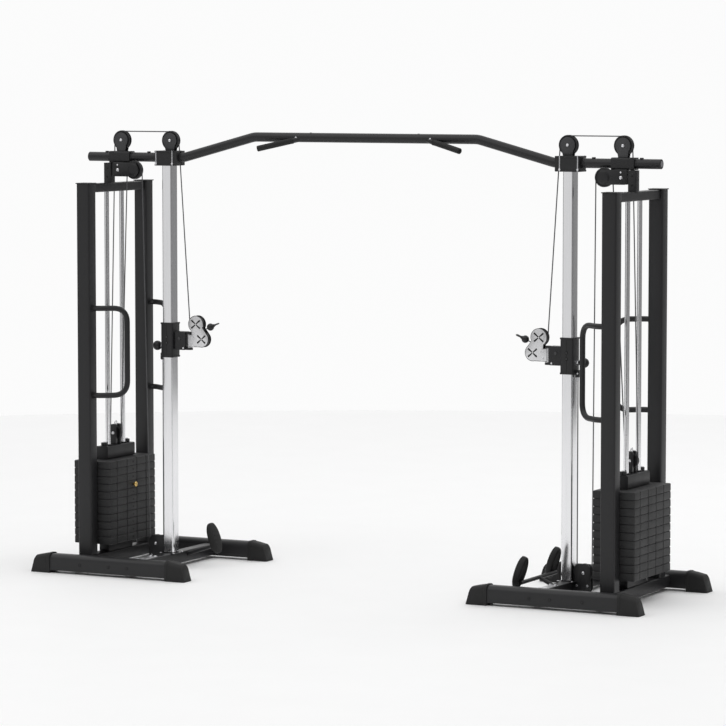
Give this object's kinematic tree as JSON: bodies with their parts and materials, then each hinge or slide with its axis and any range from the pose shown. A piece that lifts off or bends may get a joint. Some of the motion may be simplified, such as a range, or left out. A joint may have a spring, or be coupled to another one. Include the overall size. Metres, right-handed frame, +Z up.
{
  "type": "cable crossover machine",
  "caption": "Cable crossover machine: weight stack towers with height-adjustable swivel pulleys, joined by a raised pull-up bar.",
  "frame": {"origin": "centre of the footprint on the floor", "axes": "+X to the machine's right along the pull-up bar, +Y to the rear, +Z up"},
  "size_m": [3.4, 0.955, 2.27],
  "materials": {
    "black_steel": "satin black powder coat",
    "chrome_tube": "polished chrome plate",
    "weight_plate": "matt black shell over a cast filling",
    "black_plastic": "moulded black nylon",
    "silver_plate": "silver satin plate",
    "brass_pin": "polished brass",
    "coated_cable": "nylon coated steel cable"
  },
  "bodies": {
    "frame": {"pull_up_bar": "black_steel", "left_front_beam": "black_steel", "left_rear_beam": "black_steel", "left_side_tube": "black_steel", "left_column_rail": "black_steel", "left_front_upright": "black_steel", "left_rear_upright": "black_steel", "left_top_crossbar": "black_steel", "left_front_handle": "black_steel", "left_rear_handle": "black_steel", "left_column": "chrome_tube", "left_column_bracket": "black_steel", "left_tube_clamp": "black_steel", "left_guide_rods": "chrome_tube", "left_resting_plates": "weight_plate", "left_cable": "coated_cable", "right_front_beam": "black_steel", "right_rear_beam": "black_steel", "right_side_tube": "black_steel", "right_column_rail": "black_steel", "right_front_upright": "black_steel", "right_rear_upright": "black_steel", "right_top_crossbar": "black_steel", "right_front_handle": "black_steel", "right_rear_handle": "black_steel", "right_column": "chrome_tube", "right_column_bracket": "black_steel", "right_tube_clamp": "black_steel", "right_guide_rods": "chrome_tube", "right_resting_plates": "weight_plate", "right_cable": "coated_cable"},
    "left_stack": {"left_lifted_plates": "weight_plate", "left_head_block": "black_steel"},
    "left_pin": {"left_selector_pin": "brass_pin"},
    "left_block_wheel": {"left_block_pulley": "black_plastic"},
    "left_carriage": {"left_carriage": "black_steel"},
    "left_knob": {"left_pull_knob": "black_plastic"},
    "left_swivel": {"left_swivel_head": "silver_plate"},
    "left_upper_wheel": {"left_upper_swivel_pulley": "black_plastic"},
    "left_lower_wheel": {"left_lower_swivel_pulley": "black_plastic"},
    "left_cable_end": {"left_cable_stop": "black_plastic"},
    "left_column_wheel": {"left_column_pulley": "black_plastic"},
    "left_stack_wheel": {"left_stack_pulley": "black_plastic"},
    "left_return_wheel": {"left_return_pulley": "black_plastic"},
    "left_base_wheel": {"left_base_pulley": "black_plastic"},
    "right_stack": {"right_lifted_plates": "weight_plate", "right_head_block": "black_steel"},
    "right_pin": {"right_selector_pin": "brass_pin"},
    "right_block_wheel": {"right_block_pulley": "black_plastic"},
    "right_carriage": {"right_carriage": "black_steel"},
    "right_knob": {"right_pull_knob": "black_plastic"},
    "right_swivel": {"right_swivel_head": "silver_plate"},
    "right_upper_wheel": {"right_upper_swivel_pulley": "black_plastic"},
    "right_lower_wheel": {"right_lower_swivel_pulley": "black_plastic"},
    "right_cable_end": {"right_cable_stop": "black_plastic"},
    "right_column_wheel": {"right_column_pulley": "black_plastic"},
    "right_stack_wheel": {"right_stack_pulley": "black_plastic"},
    "right_return_wheel": {"right_return_pulley": "black_plastic"},
    "right_base_wheel": {"right_base_pulley": "black_plastic"}
  },
  "joints": [
    {"name": "left_stack_lift", "type": "slide", "parent": "frame", "child": "left_stack", "axis": [0, 0, 1], "range_m": [0, 1], "deforming": ["left_cable"]},
    {"name": "left_pin_pull", "type": "slide", "parent": "left_stack", "child": "left_pin", "axis": [1, 0, 0], "range_m": [0, 0.07]},
    {"name": "left_block_pulley_spin", "type": "hinge", "parent": "left_stack", "child": "left_block_wheel", "pos_m": [-1.462, -0.01, 0.69], "axis": [0, 1, 0], "continuous": true},
    {"name": "left_column_pulley_spin", "type": "hinge", "parent": "frame", "child": "left_column_wheel", "pos_m": [-1.12, -0.01, 2.22], "axis": [0, 1, 0], "continuous": true},
    {"name": "left_stack_pulley_spin", "type": "hinge", "parent": "frame", "child": "left_stack_wheel", "pos_m": [-1.412, -0.01, 2.22], "axis": [0, 1, 0], "continuous": true},
    {"name": "left_carriage_slide", "type": "slide", "parent": "frame", "child": "left_carriage", "axis": [0, 0, 1], "range_m": [-0.86, 0.76]},
    {"name": "left_return_pulley_spin", "type": "hinge", "parent": "frame", "child": "left_return_wheel", "pos_m": [-1.322, -0.04, 2.066], "axis": [0, 1, 0], "continuous": true},
    {"name": "left_base_pulley_spin", "type": "hinge", "parent": "frame", "child": "left_base_wheel", "pos_m": [-1.215, -0.01, 0.123], "axis": [0, 1, 0], "continuous": true},
    {"name": "left_knob_pull", "type": "slide", "parent": "left_carriage", "child": "left_knob", "axis": [-1, 0, 0], "range_m": [0, 0.012], "stiffness_N_per_m": 1500},
    {"name": "left_swivel_turn", "type": "hinge", "parent": "left_carriage", "child": "left_swivel", "pos_m": [-1.0125, -0.01, 1.198], "axis": [0, 0, 1], "range_deg": [-80, 80]},
    {"name": "left_upper_swivel_pulley_spin", "type": "hinge", "parent": "left_swivel", "child": "left_upper_wheel", "pos_m": [-0.97, -0.01, 1.275], "axis": [0, 1, 0], "continuous": true},
    {"name": "left_lower_swivel_pulley_spin", "type": "hinge", "parent": "left_swivel", "child": "left_lower_wheel", "pos_m": [-0.937, -0.01, 1.198], "axis": [0, 1, 0], "continuous": true},
    {"name": "left_cable_pull", "type": "slide", "parent": "left_swivel", "child": "left_cable_end", "axis": [0.9191, 0, 0.3939], "range_m": [0, 2]},
    {"name": "right_stack_lift", "type": "slide", "parent": "frame", "child": "right_stack", "axis": [0, 0, 1], "range_m": [0, 1], "deforming": ["right_cable"]},
    {"name": "right_pin_pull", "type": "slide", "parent": "right_stack", "child": "right_pin", "axis": [-1, 0, 0], "range_m": [0, 0.07]},
    {"name": "right_block_pulley_spin", "type": "hinge", "parent": "right_stack", "child": "right_block_wheel", "pos_m": [1.462, -0.01, 0.69], "axis": [0, 1, 0], "continuous": true},
    {"name": "right_column_pulley_spin", "type": "hinge", "parent": "frame", "child": "right_column_wheel", "pos_m": [1.12, -0.01, 2.22], "axis": [0, 1, 0], "continuous": true},
    {"name": "right_stack_pulley_spin", "type": "hinge", "parent": "frame", "child": "right_stack_wheel", "pos_m": [1.412, -0.01, 2.22], "axis": [0, 1, 0], "continuous": true},
    {"name": "right_carriage_slide", "type": "slide", "parent": "frame", "child": "right_carriage", "axis": [0, 0, 1], "range_m": [-0.86, 0.76]},
    {"name": "right_return_pulley_spin", "type": "hinge", "parent": "frame", "child": "right_return_wheel", "pos_m": [1.322, -0.04, 2.066], "axis": [0, 1, 0], "continuous": true},
    {"name": "right_base_pulley_spin", "type": "hinge", "parent": "frame", "child": "right_base_wheel", "pos_m": [1.215, -0.01, 0.123], "axis": [0, 1, 0], "continuous": true},
    {"name": "right_knob_pull", "type": "slide", "parent": "right_carriage", "child": "right_knob", "axis": [1, 0, 0], "range_m": [0, 0.012], "stiffness_N_per_m": 1500},
    {"name": "right_swivel_turn", "type": "hinge", "parent": "right_carriage", "child": "right_swivel", "pos_m": [1.0125, -0.01, 1.198], "axis": [0, 0, 1], "range_deg": [-80, 80]},
    {"name": "right_upper_swivel_pulley_spin", "type": "hinge", "parent": "right_swivel", "child": "right_upper_wheel", "pos_m": [0.97, -0.01, 1.275], "axis": [0, 1, 0], "continuous": true},
    {"name": "right_lower_swivel_pulley_spin", "type": "hinge", "parent": "right_swivel", "child": "right_lower_wheel", "pos_m": [0.937, -0.01, 1.198], "axis": [0, 1, 0], "continuous": true},
    {"name": "right_cable_pull", "type": "slide", "parent": "right_swivel", "child": "right_cable_end", "axis": [-0.9191, 0, 0.3939], "range_m": [0, 2]}
  ],
  "couplings": [
    {"joint": "left_block_pulley_spin", "follows": "left_stack_lift", "rad_per_m": 30.303},
    {"joint": "left_column_pulley_spin", "follows": "left_stack_lift", "rad_per_m": 43.956},
    {"joint": "left_stack_pulley_spin", "follows": "left_stack_lift", "rad_per_m": 43.956},
    {"joint": "left_return_pulley_spin", "follows": "left_carriage_slide", "rad_per_m": 22.472},
    {"joint": "left_base_pulley_spin", "follows": "left_carriage_slide", "rad_per_m": -25},
    {"joint": "left_upper_swivel_pulley_spin", "follows": "left_stack_lift", "rad_per_m": -47.059},
    {"joint": "left_lower_swivel_pulley_spin", "follows": "left_stack_lift", "rad_per_m": 48.426},
    {"joint": "left_cable_pull", "follows": "left_stack_lift", "ratio": 2},
    {"joint": "right_block_pulley_spin", "follows": "right_stack_lift", "rad_per_m": -30.303},
    {"joint": "right_column_pulley_spin", "follows": "right_stack_lift", "rad_per_m": -43.956},
    {"joint": "right_stack_pulley_spin", "follows": "right_stack_lift", "rad_per_m": -43.956},
    {"joint": "right_return_pulley_spin", "follows": "right_carriage_slide", "rad_per_m": -22.472},
    {"joint": "right_base_pulley_spin", "follows": "right_carriage_slide", "rad_per_m": 25},
    {"joint": "right_upper_swivel_pulley_spin", "follows": "right_stack_lift", "rad_per_m": 47.059},
    {"joint": "right_lower_swivel_pulley_spin", "follows": "right_stack_lift", "rad_per_m": -48.426},
    {"joint": "right_cable_pull", "follows": "right_stack_lift", "ratio": 2}
  ]
}
